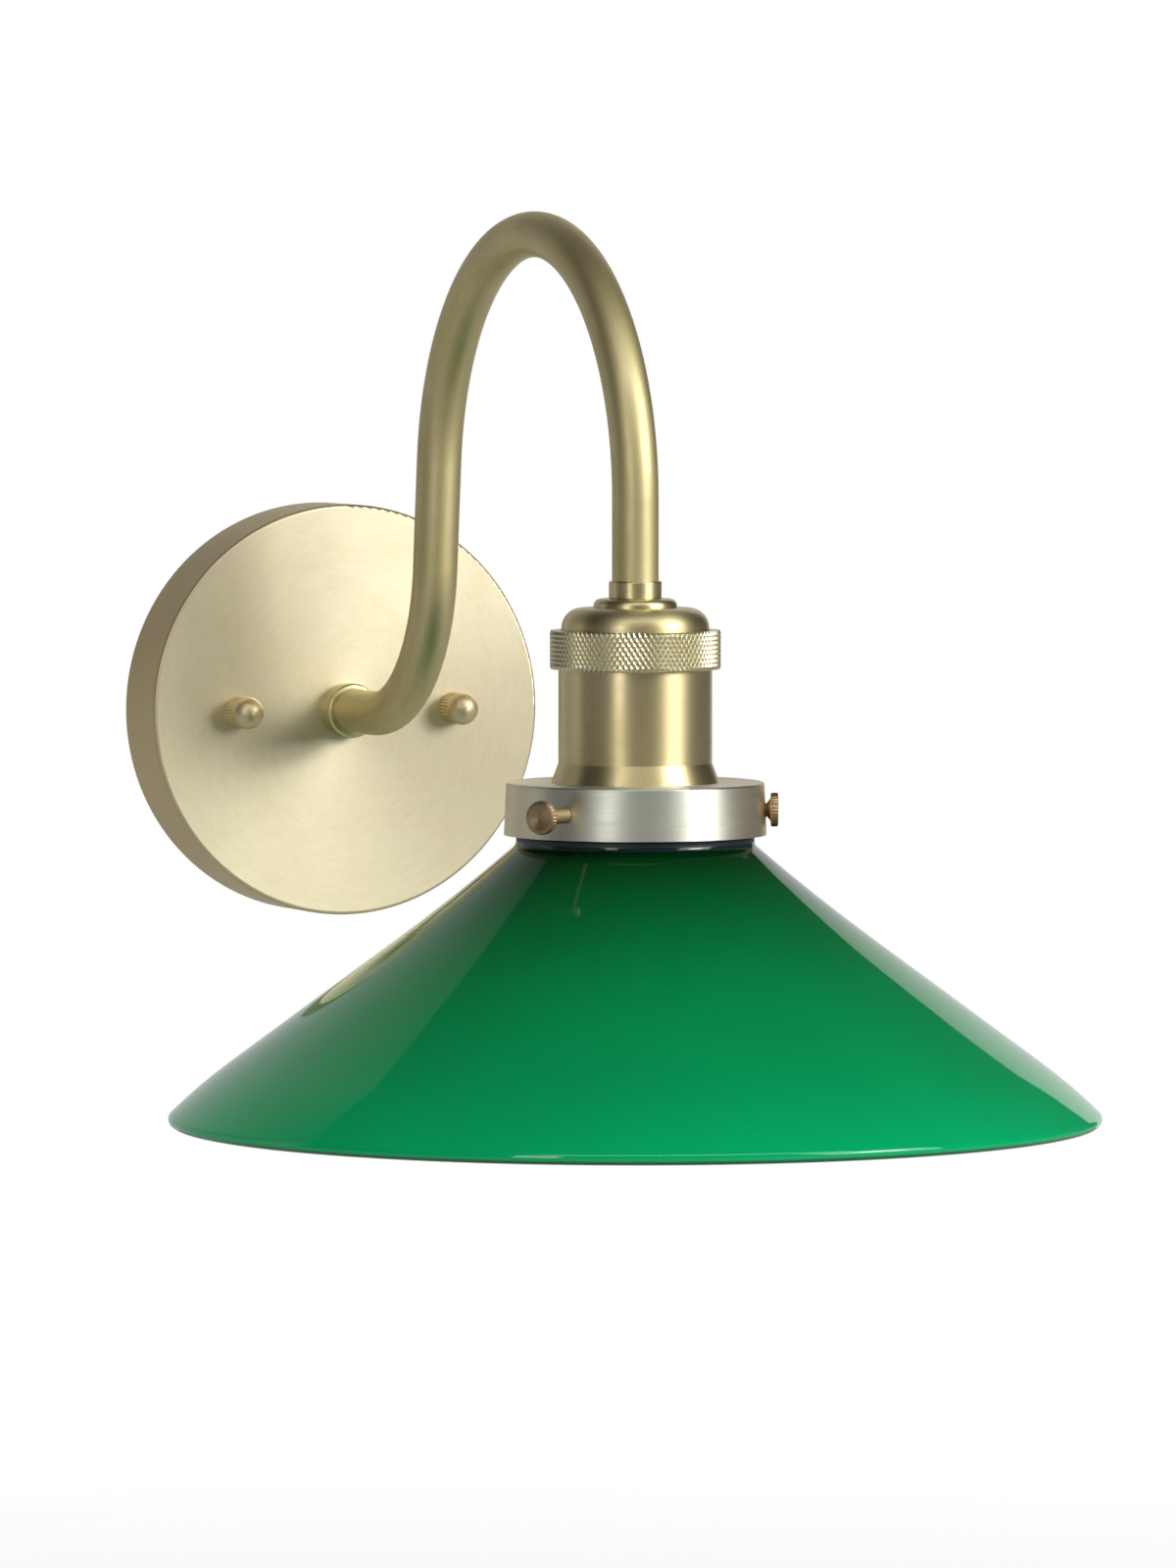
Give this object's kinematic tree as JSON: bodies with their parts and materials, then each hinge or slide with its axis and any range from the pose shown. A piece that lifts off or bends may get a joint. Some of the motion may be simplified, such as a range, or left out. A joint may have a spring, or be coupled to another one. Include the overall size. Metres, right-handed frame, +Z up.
{
  "type": "wall sconce",
  "caption": "Gooseneck wall sconce: round brass canopy, arched tube arm, lamp socket with knurled ring, and a wide green cone glass shade held in a cup by thumb screws.",
  "frame": {"origin": "centre of the canopy on the wall face, midway between the two box screws", "axes": "+X along the wall to the viewer's right, -Y straight out of the wall, +Z up"},
  "size_m": [0.254, 0.3643, 0.2478],
  "materials": {
    "turned_brass": "satin lacquered brass, turned in circles",
    "brushed_brass": "satin brushed brass",
    "knurled_brass": "diamond knurled brass",
    "pale_brass": "pale satin brass with fine turned lines",
    "bright_brass": "polished brass with straight knurl",
    "dark_brass": "turned brass, darkened",
    "green_glass": "glossy green cased glass, white inside",
    "zinc_steel": "zinc plated",
    "green_screw": "green plated",
    "black_plastic": "moulded",
    "socket_ceramic": "glazed porcelain",
    "contact_metal": "bright pressed brass",
    "black_wire": "insulation",
    "white_wire": "insulation",
    "orange_plastic": "moulded twist-on connector"
  },
  "bodies": {
    "fixture": {"wall_canopy": "turned_brass", "fixing_strap": "zinc_steel", "ground_screw": "green_screw", "canopy_studs": "zinc_steel", "stud_lock_nuts": "zinc_steel", "arm_collar": "brushed_brass", "arm_tube": "brushed_brass", "arm_nipple": "zinc_steel", "lock_washer": "zinc_steel", "arm_lock_nut": "zinc_steel", "nipple_bushing": "black_plastic", "neck_collar": "brushed_brass", "seat_ring": "brushed_brass", "socket_nipple": "zinc_steel", "cap_lock_nut": "zinc_steel", "socket_cap": "brushed_brass", "socket_shell": "brushed_brass", "socket_insulator": "socket_ceramic", "screw_shell": "contact_metal", "centre_contact": "contact_metal", "terminal_plate_hot": "contact_metal", "terminal_plate_neutral": "contact_metal", "terminal_screws": "contact_metal", "socket_rivets": "contact_metal", "lead_wire_hot": "black_wire", "lead_wire_neutral": "white_wire", "wire_connectors": "orange_plastic", "shade_holder": "pale_brass", "holder_ring_nut": "zinc_steel", "glass_shade": "green_glass"},
    "cap_nut_left": {"cap_nut_left": "bright_brass"},
    "cap_nut_right": {"cap_nut_right": "bright_brass"},
    "knurled_ring": {"knurled_ring": "knurled_brass"},
    "thumb_screw_front": {"thumb_screw_front": "dark_brass"},
    "thumb_screw_side": {"thumb_screw_side": "dark_brass"},
    "thumb_screw_back": {"thumb_screw_back": "dark_brass"}
  },
  "joints": [
    {"name": "cap_nut_left_unscrew", "type": "slide", "parent": "fixture", "child": "cap_nut_left", "axis": [0, -1, 0], "range_m": [0, 0.01]},
    {"name": "cap_nut_right_unscrew", "type": "slide", "parent": "fixture", "child": "cap_nut_right", "axis": [0, -1, 0], "range_m": [0, 0.01]},
    {"name": "knurled_ring_unscrew", "type": "slide", "parent": "fixture", "child": "knurled_ring", "axis": [0, 0, 1], "range_m": [0, 0.008]},
    {"name": "thumb_screw_front_unscrew", "type": "slide", "parent": "fixture", "child": "thumb_screw_front", "axis": [-0.8192, -0.5736, 0], "range_m": [0, 0.007]},
    {"name": "thumb_screw_side_unscrew", "type": "slide", "parent": "fixture", "child": "thumb_screw_side", "axis": [0.9063, -0.4226, 0], "range_m": [0, 0.007]},
    {"name": "thumb_screw_back_unscrew", "type": "slide", "parent": "fixture", "child": "thumb_screw_back", "axis": [-0.0872, 0.9962, 0], "range_m": [0, 0.007]}
  ]
}
